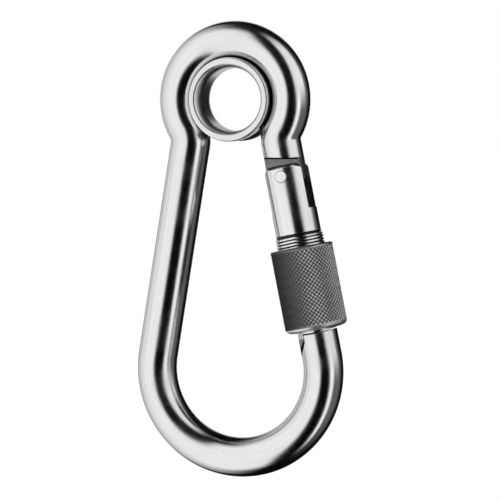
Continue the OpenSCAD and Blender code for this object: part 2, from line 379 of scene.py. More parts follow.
def closed_rod(name, grid, finish=None):
    """A piece from rows of rings, closed at each end with a fan to a middle point."""
    rows, columns = grid.shape[:2]
    middles = np.stack([grid[0].mean(0), grid[-1].mean(0)])
    points = np.concatenate([grid.reshape(-1, 3), middles])
    first = np.arange(columns)
    last = (rows - 1) * columns + first
    pole = rows * columns
    low = np.stack([np.full(columns, pole), np.roll(first, -1), first], -1)
    high = np.stack([np.full(columns, pole + 1), last, np.roll(last, -1)], -1)
    mesh = mesh_from(name, points, lattice(rows, columns, False), np.stack([low, high]))
    return add_piece(name, mesh, finish)


def closed_ring(name, grid, finish):
    """A piece from rows of rings in which the last row joins the first."""
    rows, columns = grid.shape[:2]
    mesh = mesh_from(name, grid.reshape(-1, 3), lattice(rows, columns, True))
    return add_piece(name, mesh, finish)


def prism(name, outline, low, high):
    """A piece from an outline in the gate's plane of OUT and UP, carried across from low to high."""
    sides = [np.insert(outline, 1, level, axis=1) for level in (low, high)]
    return closed_rod(name, in_frame(np.array(sides)))


def box_outline(low, high):
    """The four corners of a rectangle."""
    return np.array([low, (high[0], low[1]), high, (low[0], high[1])], float)


def carve(piece, tool, operation, finish):
    """Adds the tool's solid to the piece, or cuts it away, and keeps the result as the mesh.
    The faces that the tool leaves take their own finish."""
    tool.data.materials.append(finish)
    modifier = piece.modifiers.new(operation.title(), "BOOLEAN")
    modifier.object = tool
    modifier.operation = operation
    modifier.solver = "EXACT"
    modifier.material_mode = "TRANSFER"
    done = piece.evaluated_get(bpy.context.evaluated_depsgraph_get())
    mesh = bpy.data.meshes.new_from_object(done)
    piece.modifiers.clear()
    piece.data = mesh
    bpy.data.objects.remove(tool)


def read(items, label, width=1, kind=np.float32):
    """One number, or one row of width numbers, from each of a mesh's points, edges or faces."""
    values = np.empty(len(items) * width, kind)
    items.foreach_get(label, values)
    return values.reshape(-1, width) if width > 1 else values


def places(mesh):
    """All the mesh's points as an array."""
    return read(mesh.vertices, "co", 3).astype(float)


def radial(local):
    """Distances of places (out, across, up) from the gate's axis."""
    return np.hypot(local[:, 0], local[:, 1])


def store(mesh, name, values):
    """Keeps one number, or one vector, for each point of the mesh."""
    vector = values.ndim == 2
    attribute = mesh.attributes.new(name, "FLOAT_VECTOR" if vector else "FLOAT", "POINT")
    attribute.data.foreach_set("vector" if vector else "value", values.astype(np.float32).ravel())


def shade(piece, limit=32, turned_radius=()):
    """Smooth faces with crisp edges where two faces meet at more than limit degrees.  Points at
    one of the turned radii of the gate's axis take the true normal, straight out from that
    axis, wherever their face looks almost that way."""
    mesh = piece.data
    mesh.shade_smooth()
    mesh.set_sharp_from_angle(angle=math.radians(limit))
    rim = np.zeros(len(mesh.vertices))
    if "sharp_edge" in mesh.attributes:
        crisp = read(mesh.attributes["sharp_edge"].data, "value", kind=bool)
        rim[read(mesh.edges, "vertices", 2, np.int32)[crisp].ravel()] = 1
    store(mesh, "edge", rim)
    if not turned_radius:
        return
    corner = read(mesh.corner_normals, "vector", 3)
    vertex = read(mesh.loops, "vertex_index", kind=np.int32)
    sizes = read(mesh.polygons, "loop_total", kind=np.int32)
    facing = np.repeat(read(mesh.polygons, "normal", 3), sizes, 0)
    local = in_gate(places(mesh))
    reach = radial(local)
    ray = np.outer(local[:, 0], OUT) + np.outer(local[:, 1], ACROSS)
    ray /= np.maximum(reach, 1e-9)[:, None]
    lowest, highest, radii = turned_radius
    round_point = (local[:, 2] > lowest) & (local[:, 2] < highest)
    round_point &= np.any([abs(reach - radius) < ON_ROUND for radius in radii], 0)
    true = round_point[vertex] & (np.einsum("ij,ij->i", facing, ray[vertex]) > FACES_OUT)
    corner[true] = ray[vertex][true]
    mesh.normals_split_custom_set(corner.tolist())


def mill_faces(mesh, finish, chosen):
    """Gives a finish to the faces that chosen(place, normal) picks, both in the gate's frame."""
    facing = read(mesh.polygons, "normal", 3) @ np.stack([OUT, ACROSS, UP], 1)
    picked = chosen(in_gate(read(mesh.polygons, "center", 3)), facing)
    index = read(mesh.polygons, "material_index", kind=np.int32)
    index[picked] = mesh.materials.find(finish.name)
    mesh.polygons.foreach_set("material_index", index)


def finish_piece(piece, node):
    """Puts a finished piece on its body, and lets it stand for its CAD node."""
    body = next(b for b, members in frame["record"]["behaviour"]["bodies"].items() if node in members)
    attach(piece, body)
    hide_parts(node)


# ---------------------------------------------------------------- shader groups

def group_tree(name, inputs, outputs):
    """An empty shader group with named inputs, each with its default, and named outputs."""
    tree = bpy.data.node_groups.new(name, "ShaderNodeTree")
    for label, default in inputs.items():
        kind = "NodeSocketVector" if default is None else "NodeSocketFloat"
        socket = tree.interface.new_socket(name=label, in_out="INPUT", socket_type=kind)
        if default is not None:
            socket.default_value = default
    for label in outputs:
        tree.interface.new_socket(name=label, in_out="OUTPUT", socket_type="NodeSocketFloat")
    return tree, tree.nodes.new("NodeGroupInput").outputs, tree.nodes.new("NodeGroupOutput").inputs


def feed(tree, socket, value):
    """Gives a node's input its value: a link from a socket, or a plain number or colour."""
    if isinstance(value, bpy.types.NodeSocket):
        tree.links.new(value, socket)
    else:
        socket.default_value = value


def maths(tree, operation, *values):
    """A Math node's result, from sockets or numbers."""
    node = tree.nodes.new("ShaderNodeMath")
    node.operation = operation
    for socket, value in zip(node.inputs, values):
        feed(tree, socket, value)
    return node.outputs[0]


def remap(tree, value, low, high, to_low=0.0, to_high=1.0, smooth=True):
    """A Map Range node's result."""
    node = tree.nodes.new("ShaderNodeMapRange")
    node.interpolation_type = "SMOOTHSTEP" if smooth else "LINEAR"
    for label, number in (("Value", value), ("From Min", low), ("From Max", high),
                          ("To Min", to_low), ("To Max", to_high)):
        feed(tree, node.inputs[label], number)
    return node.outputs["Result"]


def noise(tree, vector, scale, detail=3.0, rough=0.5):
    """A noise value at a vector socket; scale may be a socket."""
    node = tree.nodes.new("ShaderNodeTexNoise")
    for label, value in (("Vector", vector), ("Scale", scale), ("Detail", detail),
                         ("Roughness", rough)):
        feed(tree, node.inputs[label], value)
    return node.outputs["Fac"]


def stretch(tree, vector, *factors):
    """A vector with each part multiplied by its own number or socket."""
    apart = tree.nodes.new("ShaderNodeSeparateXYZ")
    whole = tree.nodes.new("ShaderNodeCombineXYZ")
    tree.links.new(vector, apart.inputs[0])
    for part, factor, target in zip(apart.outputs, factors, whole.inputs):
        tree.links.new(maths(tree, "MULTIPLY", part, factor), target)
    return whole.outputs[0]


def polish_lines_group():
    """Fine lines that a polishing belt leaves.  Place is in millimetres, with its X along the
    lines.  Lines is 0 to 1 and changes fast across and slowly along them."""
    tree, given, made = group_tree("polish_lines", {"Place": None, "Across": 9.0, "Along": 0.35},
                                   ["Lines", "Broad"])
    drawn = stretch(tree, given["Place"], given["Along"], given["Across"], given["Across"])
    fine = noise(tree, drawn, 1.0, 5, 0.62)
    broad = noise(tree, drawn, 0.22, 2, 0.5)
    tree.links.new(remap(tree, fine, 0.3, 0.7), made["Lines"])
    tree.links.new(remap(tree, broad, 0.35, 0.65), made["Broad"])
    return tree


def handling_group():
    """Marks of use.  Smudge is where hands have dulled the polish, Scratch is thin stray
    scratches, and Pit is small dents; each is 0 to 1."""
    tree, given, made = group_tree("handling", {"Place": None, "Size": 1.0},
                                   ["Smudge", "Scratch", "Pit"])
    smudge = noise(tree, given["Place"], maths(tree, "MULTIPLY", given["Size"], 0.16), 4, 0.6)
    tree.links.new(remap(tree, smudge, 0.48, 0.68), made["Smudge"])
    drawn = stretch(tree, given["Place"], 0.16, 1.0, 1.0)
    bent = noise(tree, drawn, maths(tree, "MULTIPLY", given["Size"], 0.5), 1, 0.4)
    line = maths(tree, "ABSOLUTE", maths(tree, "SUBTRACT", bent, 0.5))
    patch = noise(tree, given["Place"], maths(tree, "MULTIPLY", given["Size"], 0.5), 1, 0.5)
    thin = remap(tree, line, 0.0, 0.0035, 1.0, 0.0)
    tree.links.new(maths(tree, "MULTIPLY", thin, remap(tree, patch, 0.5, 0.62)), made["Scratch"])
    cells = tree.nodes.new("ShaderNodeTexVoronoi")
    tree.links.new(given["Place"], cells.inputs["Vector"])
    tree.links.new(maths(tree, "MULTIPLY", given["Size"], 0.9), cells.inputs["Scale"])
    tree.links.new(remap(tree, cells.outputs["Distance"], 0.0, 0.14, 1.0, 0.0), made["Pit"])
    return tree


def worn_edge_group():
    """Brightened edges: the edge mask, broken up by noise, times an amount."""
    tree, given, made = group_tree("worn_edge", {"Place": None, "Edge": 0.0, "Amount": 1.0}, ["Wear"])
    ragged = remap(tree, noise(tree, given["Place"], 2.2, 4, 0.6), 0.35, 0.6)
    tree.links.new(maths(tree, "MULTIPLY", maths(tree, "MULTIPLY", given["Edge"], ragged),
                         given["Amount"]), made["Wear"])
    return tree


def soft_panel_group():
    """A soft-edged panel of light on the sky: 1 inside half the given width and height of its
    centre, falling to 0 over Soft at its sides and over twice that at its top and foot.  All
    angles are in radians."""
    tree, given, made = group_tree(
        "soft_panel", {"Azimuth": 0.0, "Elevation": 0.0, "Centre": 0.0, "Half width": 1.0,
                       "Height": 0.0, "Half height": 1.0, "Soft": 0.1, "Level": 1.0}, ["Light"])
    aside = maths(tree, "WRAP", maths(tree, "SUBTRACT", given["Azimuth"], given["Centre"]),
                  math.pi, -math.pi)
    above = maths(tree, "SUBTRACT", given["Elevation"], given["Height"])
    light = given["Level"]
    for offset, half, reach in ((aside, "Half width", 0.5), (above, "Half height", 1.0)):
        past = maths(tree, "SUBTRACT", maths(tree, "ABSOLUTE", offset), given[half])
        mask = remap(tree, maths(tree, "DIVIDE", past, given["Soft"]), -reach, reach, 1.0, 0.0)
        light = maths(tree, "MULTIPLY", light, mask)
    tree.links.new(light, made["Light"])
    return tree


def shared_group(maker):
    """A shader group, built the first time that it is asked for."""
    name = maker.__name__.removesuffix("_group")
    return bpy.data.node_groups.get(name) or maker()


def place_group(tree, maker, **values):
    """Puts a shared group into a tree with its inputs set from sockets or numbers."""
    node = tree.nodes.new("ShaderNodeGroup")
    node.node_tree = shared_group(maker)
    for label, value in values.items():
        feed(tree, node.inputs[label.replace("_", " ")], value)
    return node.outputs


# ---------------------------------------------------------------- steels

def blend_colour(tree, factor, first, second):
    """One colour turning into another; each is a socket or a plain colour."""
    node = tree.nodes.new("ShaderNodeMix")
    node.data_type = "RGBA"
    tree.links.new(factor, node.inputs["Factor"])
    for socket, value in ((node.inputs[6], first), (node.inputs[7], second)):
        feed(tree, socket, value if isinstance(value, bpy.types.NodeSocket) else (*value, 1))
    return node.outputs[2]


def steel(name, colour, roughness, across=9.0, along=0.35, lines=0.05, marks=1.0, wear=0.5,
          worn=(0.95, 0.95, 0.95), shade_strength=0.85, relief=1.0):
    """Steel whose polish lines follow the stored place of each point, with smudges, stray
    scratches and dents, bright worn edges, and painted shade: the colour darkens towards the
    shade colour where the stored painted shade is high and where ambient occlusion finds a corner."""
    material = bpy.data.materials.new(name)
    material.use_nodes = True
    tree = material.node_tree
    steel_shader = tree.nodes["Principled BSDF"]
    steel_shader.inputs["Metallic"].default_value = 1
    stored = {}
    for label in ("place", "edge", "painted_shade"):
        node = tree.nodes.new("ShaderNodeAttribute")
        node.attribute_name = label
        stored[label] = node.outputs["Vector" if label == "place" else "Fac"]
    grain = place_group(tree, polish_lines_group, Place=stored["place"], Across=across, Along=along)
    use = place_group(tree, handling_group, Place=stored["place"], Size=1.0)
    edges = place_group(tree, worn_edge_group, Place=stored["place"], Edge=stored["edge"], Amount=wear)
    deep = tuple(c * 0.8 for c in colour)
    base = blend_colour(tree, remap(tree, grain["Broad"], 0, 1, 0, 0.14), colour, deep)
    base = blend_colour(tree, maths(tree, "MULTIPLY", use["Pit"], 0.25 * marks), base, deep)
    base = blend_colour(tree, edges["Wear"], base, worn)
    # Painted shade: ambient occlusion darkens the colour in corners, slots and under overhangs, and the
    # stored painted shade adds to it.
    corner = tree.nodes.new("ShaderNodeAmbientOcclusion")
    corner.samples = 6
    corner.inputs["Distance"].default_value = 0.9 * MM
    occluded = remap(tree, corner.outputs["AO"], 0.12, 0.55, 0.9, 0.0)
    shade_mask = maths(tree, "MAXIMUM", remap(tree, stored["painted_shade"], 0.35, 0.95, 0.0, shade_strength), occluded)
    base = blend_colour(tree, shade_mask, base, settings().finishes.stain)
    tree.links.new(base, steel_shader.inputs["Base Color"])
    rough = maths(tree, "MULTIPLY_ADD", grain["Lines"], lines, roughness)
    for mask, amount in ((use["Smudge"], 0.07 * marks), (use["Scratch"], 0.16 * marks), (shade_mask, 0.2)):
        rough = maths(tree, "MULTIPLY_ADD", mask, amount, rough)
    tree.links.new(rough, steel_shader.inputs["Roughness"])
    height = maths(tree, "MULTIPLY", grain["Lines"], 0.45)
    height = maths(tree, "MULTIPLY_ADD", grain["Broad"], 0.03, height)
    for mask, amount in ((use["Scratch"], -0.25 * marks), (use["Pit"], -0.4 * marks)):
        height = maths(tree, "MULTIPLY_ADD", mask, amount, height)
    bump = tree.nodes.new("ShaderNodeBump")
    bump.inputs["Strength"].default_value = 1
    bump.inputs["Distance"].default_value = relief * 1.2e-6
    tree.links.new(height, bump.inputs["Height"])
    tree.links.new(bump.outputs["Normal"], steel_shader.inputs["Normal"])
    return material


def milled_and_shaded_steel():
    """Unpolished steel of the milled faces, built the first time that it is asked for.  Its dark
    colour is partly the dull milled finish and partly painted shade on the slots, holes and cut
    faces that it covers.
    """
    name = "milled_and_shaded_steel"
    finishes = settings().finishes
    return bpy.data.materials.get(name) or steel(name, finishes.milled, finishes.polish + 0.22,
                                                 across=3, along=3, lines=0.08, marks=0.1,
                                                 wear=0.1, relief=0.4)


def grain_along(mesh, painted_shade=None):
    """Stores each point's place for the polish lines of a piece on the gate's axis, in
    millimetres with X along that axis, and how much painted shade darkens it, from 0 to 1."""
    local = in_gate(places(mesh))
    store(mesh, "place", local[:, [2, 0, 1]] / MM)
    store(mesh, "painted_shade", np.zeros(len(local)) if painted_shade is None else painted_shade(local))


# ---------------------------------------------------------------- pieces

def bar_route(bar):
    """The bar's middle line from above the hinge, round the eye, down the left leg and round
    the bow to the nose: points and travel directions in the plane of X and Z.  The right leg
    is the gate's axis, the legs touch the bow and the necks touch both legs and eye."""
    lean = (math.cos(LEAN), math.sin(LEAN))
    flip = np.array([-1.0, 1.0])
    bow = np.array([0, -bar.span])
    touch = bow + bar.bow_r * np.array(lean)
    aside = touch @ lean
    drop = math.sqrt((bar.eye_r + bar.neck_r) ** 2 - (aside + bar.neck_r) ** 2)
    down = np.array([lean[1], -lean[0]])
    bend_end = aside * np.array(lean) + drop * down
    neck = bend_end + bar.neck_r * np.array(lean)
    dip = -math.atan2(neck[1], neck[0])
    turned = dip + LEAN
    eye = np.zeros(2)
    route = [arc(neck, bar.neck_r, math.pi + LEAN, -turned),
             arc(eye, bar.eye_r, -dip, math.pi + 2 * dip),
             arc(neck * flip, bar.neck_r, dip, -turned),
             straight(bend_end * flip, touch * flip),
             arc(bow, bar.bow_r, math.pi - LEAN, math.pi + 2 * LEAN)]
    keep = [slice(None)] + [slice(1, None)] * (len(route) - 1)
    points = np.concatenate([part[0][cut] for part, cut in zip(route, keep)])
    ahead = np.concatenate([part[1][cut] for part, cut in zip(route, keep)])
    return points, ahead


def bar_grid(bar, around=112):
    """Rings of the whole bar.  Along the route a ring's point at angle a is
    c + r (n cos a + y sin a), with n square to the route and y across the hook.  The two ends
    lie on the right leg: a tilted flat face above the hinge, and a nose whose height
    -sqrt(nose_r² - x²) follows the gate's swing."""
    radius = bar.bar_d / 2
    points, ahead = bar_route(bar)
    a = angles(around)
    out = np.stack([ahead[:, 1], 0 * points[:, 0], -ahead[:, 0]], -1)
    middle = np.insert(points, 1, 0, axis=1)
    rings = middle[:, None] + radius * (out[:, None] * np.cos(a)[:, None]
                                        + ACROSS * np.sin(a)[:, None])
    tilt = math.tan(bar.shoulder_tilt)
    shoulder = end_face(radius, lambda x, y: bar.shoulder_up - tilt * x, -1, bar.edge, around)
    nose = end_face(radius, lambda x, y: -np.sqrt(bar.nose_r ** 2 - x * x), 1, bar.edge, around)
    first, last = in_gate(rings[0]), in_gate(rings[-1])
    return np.concatenate([in_frame(shoulder), in_frame(between(shoulder[-1], first, 3)), rings,
                           in_frame(between(last, nose[-1], 5)), in_frame(nose[::-1])])


def tenon_outline(bar, bends=24):
    """The tenon seen from the side: a stem as wide as the bar whose tail is rounded by two
    circles, centre (±lobe_arm, 0)."""
    t = np.linspace(0, QUARTER, bends)
    left = np.stack([-bar.lobe_arm - bar.tail_r * np.cos(t), -bar.tail_r * np.sin(t)], -1)
    right = left[::-1] * [-1, 1]
    into_bar = 1.4 * MM
    rise = np.linspace(0, bar.shoulder_up + into_bar, 8)[1:, None]
    side = bar.lobe_arm + bar.tail_r
    stem = np.concatenate([np.full_like(rise, side), rise], 1)
    return np.concatenate([left, right, stem, stem[::-1] * [-1, 1]])


def tenon_grid(bar, slices=9):
    """The tenon's outline carried across its thickness, and held inside the bar's round: at
    distance y from the middle no point is further out than sqrt(r² - y²)."""
    outline = tenon_outline(bar)
    y = np.linspace(-1, 1, slices)[:, None] * bar.tenon_t / 2
    reach = np.sqrt((bar.bar_d / 2 - 0.02 * MM) ** 2 - y * y)
    x = np.clip(outline[:, 0], -reach, reach)
    return np.stack([x, y + 0 * x, outline[:, 1] + 0 * x], -1)


def pin_tool(diameter, half_length, around=64):
    """A cutter for a cross hole on the hinge's axis."""
    ends = [circle(diameter / 2, side * half_length, around)[:, [0, 2, 1]] for side in (-1, 1)]
    return closed_rod("pin_tool", in_frame(np.array(ends)))


def both_sides(name, outline, inner):
    """Two cutters of one outline, from the given distance either side of the middle outwards."""
    return [prism(name, outline, *levels) for levels in ((inner, CUT_WIDE), (-CUT_WIDE, -inner))]


def notch_tools(bar):
    """Cutters for the two cheeks beside the nose's tongue, down to a slanted floor."""
    face, top = -bar.notch_face, -20 * MM
    outline = np.array([(face, top), (face, -bar.notch_down),
                        (face - CUT_RUN, -bar.notch_down - CUT_RUN * math.tan(bar.notch_slope)),
                        (face - CUT_RUN, top)])
    return both_sides("notch_tool", outline, bar.tongue_t / 2)


def corner_tools(bar):
    """Cutters for the relief grooves in the tenon's and the tongue's sides: one pair runs under
    the tilted shoulder and one pair up from the notch's slanted floor."""
    face, run, tilt = -bar.notch_face, CUT_RUN, math.tan(bar.shoulder_tilt)
    side = np.array([[-run, run * tilt], [run, -run * tilt], [run, -run * tilt], [-run, run * tilt]])
    shoulder = side + np.array([[0, bar.shoulder_up + 0.02 * MM]] * 2
                               + [[0, bar.shoulder_up - bar.corner_w]] * 2)
    low = -bar.notch_down - run * math.tan(bar.notch_slope)
    floor = np.array([(face, -bar.notch_down + bar.corner_rise), (face, -bar.notch_down),
                      (face - run, low), (face - run, low + bar.corner_rise)])
    return (both_sides("corner_tool", shoulder, bar.tenon_t / 2 - bar.corner_w)
            + both_sides("corner_tool", floor, bar.tongue_t / 2 - bar.corner_w))


def store_bar_places(mesh, bar):
    """Stores the place of each point on the bar as if the bar were unbent: its distance along
    the route, and its place across the bar, all in millimetres.  The nearest point of the
    route gives the distance, and the route runs on straight past the tenon and the tongue."""
    points, ahead = bar_route(bar)
    past_tenon, past_tongue = in_frame(np.array([[0, 0, -4 * MM], [0, 0, -20 * MM]]))[:, [0, 2]]
    upper, lower = straight(past_tenon, points[0]), straight(points[-1], past_tongue)
    points = np.concatenate([upper[0], points, lower[0]])
    ahead = np.concatenate([upper[1], ahead, lower[1]])
    walked = np.concatenate([[0], np.cumsum(np.linalg.norm(np.diff(points, axis=0), axis=1))])
    spots = places(mesh)
    flat = spots[:, [0, 2]]
    nearest = np.argmin((flat ** 2).sum(1)[:, None] + (points ** 2).sum(1) - 2 * flat @ points.T, 1)
    offset = flat - points[nearest]
    forward = ahead[nearest]
    along = walked[nearest] + (offset * forward).sum(1)
    aside = offset[:, 0] * forward[:, 1] - offset[:, 1] * forward[:, 0]
    store(mesh, "place", np.stack([along, aside, spots[:, 1]], -1) / MM)
    store(mesh, "painted_shade", np.zeros(len(spots)))


def thimble_profile(bar, thimble, inner, rim, half):
    """Closed outline (radius, depth) of the lining.  The mouth is a quarter of an ellipse from
    the bore to the rim's flat, the rim's edge is a quarter circle, and the outside is a groove
    round the bar: radius = eye_r - sqrt(r² - depth²)."""
    t = np.linspace(0, QUARTER, 22)
    waist, roll = thimble.waist / 2, thimble.roll
    brim = rim - roll - thimble.rim_flat
    mouth = np.stack([brim - (brim - inner) * np.cos(t), waist + (half - waist) * np.sin(t)], -1)
    edge = np.stack([rim - roll + roll * np.sin(t[1::3]), half - roll + roll * np.cos(t[1::3])], -1)
    hug = bar.bar_d / 2 + thimble.gap
    lip = math.sqrt(hug ** 2 - (bar.eye_r - rim) ** 2)
    y = np.linspace(lip, 0, 16)
    groove = np.stack([bar.eye_r - np.sqrt(hug ** 2 - y * y), y], -1)
    upper = np.concatenate([mouth, [[rim - roll, half]], edge, [[rim, half - roll]], groove])
    return np.concatenate([upper, upper[-2::-1] * [1, -1]])


def thread_rows(gate, around, samples=10):
    """Rows of the gate's thread, from its top down.  The radius is crest - depth (1 - w), where
    w is a ridge with a flat crest and root that climbs one pitch a turn.  It fades out over
    the first and the last half turn."""
    count = round(gate.thread_len / gate.thread_pitch * samples)
    down = np.linspace(0, gate.thread_len, count + 1)[:, None]
    a = angles(around)
    phase = (-down / gate.thread_pitch - a / TURN) % 1
    ridge = np.clip((1 - abs(2 * phase - 1) - 0.1) / 0.42, 0, 1)
    from_end = np.minimum(down, gate.thread_len - down)
    fade = np.clip(from_end / (0.5 * gate.thread_pitch), 0, 1)
    radius = gate.thread_d / 2 - gate.thread_depth * (1 - ridge * fade)
    height = -gate.thread_top - down + 0 * a
    return np.stack([radius * np.cos(a), radius * np.sin(a), height], -1)


def gate_grid(gate, bar, around=112):
    """Rings of the gate from its crowned top to its rounded end.  The top's height is
    barrel_up - crown_r + sqrt(crown_r² - (|x| - flat)²) past the flat middle, and the end's is
    -sqrt(end_r² - x²)."""
    radius, tip = gate.barrel_d / 2, bar.bar_d / 2
    flat = radius - gate.crown_r

    def crown(x, y):
        past = np.clip(abs(x) - flat, 0, gate.crown_r)
        return gate.barrel_up - gate.crown_r + np.sqrt(gate.crown_r ** 2 - past ** 2)

    top = end_face(radius, crown, 1, gate.chamfer, around, chamfer=True)
    end = end_face(tip, lambda x, y: -np.sqrt(gate.end_r ** 2 - x * x), -1, gate.edge, around)
    thread = thread_rows(gate, around)
    foot = -gate.thread_top - gate.thread_len
    above, root = gate.relief_h - gate.thread_top, gate.thread_d / 2 - gate.thread_depth
    break_edge, step = 0.06 * MM, 0.02 * MM
    barrel_end = circle(radius, above + break_edge, around)
    relief = np.array([circle(radius - break_edge, above, around),
                       circle(root, above - step, around)])
    tail = circle(tip, foot - 0.3 * MM, around)
    return np.concatenate([top, between(top[-1], barrel_end, 12), [barrel_end], relief, thread,
                           [tail], between(tail, end[-1], 6), end[::-1]])


def lip_tool(gate, bar, bends=40):
    """The lip on the gate's inner side: the part of the bar's round beyond the lip's face,
    carried up from the lip's end."""
    tip = bar.bar_d / 2 - 0.01 * MM
    half = math.acos(gate.lip_face / tip)
    a = math.pi + half * np.linspace(-1, 1, bends)
    outline = np.stack([tip * np.cos(a), tip * np.sin(a)], -1)
    levels = (-gate.lip_down, -gate.lip_down + 2 * MM)
    return closed_rod("lip_tool", in_frame(np.array([np.insert(outline, 2, z, 1) for z in levels])))


def gate_tools(gate):
    """Cutters for the fork slot, the spring's bore and the slot in the lip."""
    far = 9 * MM
    slot, lip = gate.slot_w / 2, gate.lip_slot_w / 2
    fork = prism("slot_tool", box_outline((-far, -gate.slot_down), (far, far)), -slot, slot)
    floor = -gate.bore_down
    bore = closed_rod("bore_tool", in_frame(np.array([circle(gate.bore_d / 2, z, 64)
                                                      for z in (floor, -gate.slot_down + MM)])))
    inner = prism("lip_slot_tool", box_outline((-far, -gate.lip_down - MM), (0, -gate.lip_slot_down)),
                  -lip, lip)
    return fork, bore, inner


def rivet_grid(gate, around=72):
    """Rings of the rivet along its own axis.  Both ends are dressed almost flat, at the
    barrel's radius with a low crown of rivet_crown (1 - (d/r)²)."""
    radius, barrel = gate.rivet_d / 2, gate.barrel_d / 2

    def head(x, y):
        return barrel + gate.rivet_crown * (1 - (x * x + y * y) / radius ** 2)

    far = end_face(radius, head, 1, 0.09 * MM, around)
    near = far * [1, 1, -1]
    rows = np.concatenate([near, between(near[-1], far[-1], 6), far[::-1]])
    return rows[:, :, [0, 2, 1]]


def plunger_grid(spring, around=72):
    """Rings of the plunger: a slightly domed head with two shallow oil grooves, and a stem."""
    head, stem = spring.plunger_d / 2, spring.stem_d / 2
    top, low = -spring.plunger_top, -spring.plunger_top - spring.plunger_len
    face = end_face(head, lambda x, y: top - 0 * x, 1, 0.15 * MM, around)
    down = np.linspace(0.2, 0.97, 56)[:, None]
    groove = np.clip(1 - abs(down - 0.45) / 0.05, 0, 1) + np.clip(1 - abs(down - 0.62) / 0.05, 0, 1)
    radius = head - spring.groove * groove
    a = angles(around)
    body = np.stack([radius * np.cos(a), radius * np.sin(a),
                     top - spring.plunger_len * down + 0 * a], -1)
    foot = np.array([circle(head - 0.15 * MM, low, around), circle(stem, low - 0.02 * MM, around)])
    tip = end_face(stem, lambda x, y: low - spring.stem_len + 0 * x, -1, 0.2 * MM, around)
    return np.concatenate([face, body, foot, between(foot[-1], tip[-1], 6), tip[::-1]])


def spring_grid(spring, gate, steps=44, sides=14):
    """Rings of the spring's wire: at turn k its middle is (R cos 2πk, R sin 2πk, z(k)), where z
    rises one wire's width over the first and the last turn and evenly between them."""
    wire, coil = spring.wire_d / 2, spring.spring_d / 2
    low = -gate.bore_down + spring.gap + wire
    high = -spring.plunger_top - spring.plunger_len - spring.gap - wire
    k = np.linspace(0, spring.coils, steps * spring.coils + 1)
    z = np.interp(k, [0, 1, spring.coils - 1, spring.coils],
                  [low, low + 2 * wire, high - 2 * wire, high])
    a, b = (TURN * k)[:, None], angles(sides)
    reach = coil + wire * np.cos(b)
    return np.stack([reach * np.cos(a), reach * np.sin(a), z[:, None] + wire * np.sin(b)], -1)


def sleeve_profile(sleeve, fine=150):
    """Outline (radius, height) of the sleeve from its knurled outside, over the rounded top,
    down the bore, out through the mouth and up a quarter of an ellipse to a plain band.
    Heights are above its lower end."""
    outer, bore, mouth = sleeve.sleeve_d / 2, sleeve.bore_d / 2, sleeve.mouth_d / 2
    rim, tall, e = mouth + sleeve.mouth_wall, sleeve.sleeve_len, sleeve.edge
    band, cut = sleeve.cone_h + sleeve.band_h, outer - 0.6 * sleeve.knurl_depth
    t = np.linspace(0, QUARTER, 7)
    outside = np.stack([np.full(fine, outer), np.linspace(band, tall - e, fine)], -1)
    shoulder = np.stack([outer - e + e * np.cos(t), tall - e + e * np.sin(t)], -1)[1:]
    inside = np.array([(bore + 0.2 * MM, tall), (bore, tall - 0.2 * MM), (bore, tall - 3 * MM),
                       (bore, sleeve.mouth_len + 3 * MM), (bore, sleeve.mouth_len + 0.5 * MM),
                       (mouth, sleeve.mouth_len), (mouth, 0.1 * MM), (mouth + 0.08 * MM, 0)])
    t = np.linspace(0, QUARTER, 9)
    under = np.stack([rim + (cut - rim) * np.sin(t), sleeve.cone_h * (1 - np.cos(t))], -1)
    lower = [(cut, band - 0.06 * MM)]
    return np.concatenate([outside, shoulder, inside, under, lower]), fine


def sleeve_grid(sleeve, samples=8):
    """Rings of the sleeve.  The knurl is the lower of two sets of ridges of opposite hand,
    depth (1 - min(w1, w2, 1)), where w is a blunted triangle wave of n a / 2π ± height / lead;
    the lead makes the grooves cross at right angles.  It fades out towards both ends."""
    profile, fine = sleeve_profile(sleeve)
    n = sleeve.knurl_starts
    a = angles(n * samples)
    height = profile[:, 1:]
    lead = math.pi * sleeve.sleeve_d / n
    wave = [1 - abs(2 * ((n * a / TURN + side * height / lead) % 1) - 1) for side in (1, -1)]
    blunt, run_in, run_out = 1.12, 0.3 * MM, 0.25 * MM
    point = np.minimum(np.minimum(*wave) * blunt, 1)
    low, high = profile[0, 1], profile[fine - 1, 1]
    fade = np.clip((height - low) / run_in, 0, 1) * np.clip((high - height) / run_out, 0, 1)
    fade[fine:] = 0
    radius = profile[:, :1] - sleeve.knurl_depth * (1 - point) * fade
    return np.stack([radius * np.cos(a), radius * np.sin(a),
                     height - sleeve.sleeve_down + 0 * a], -1)


class BuildStep:
    """What the steps share: each builds its part of the scene from the current settings."""

    def execute(self, context):
        hook = settings()
        self.build(hook, hook.finishes)
        return {"FINISHED"}


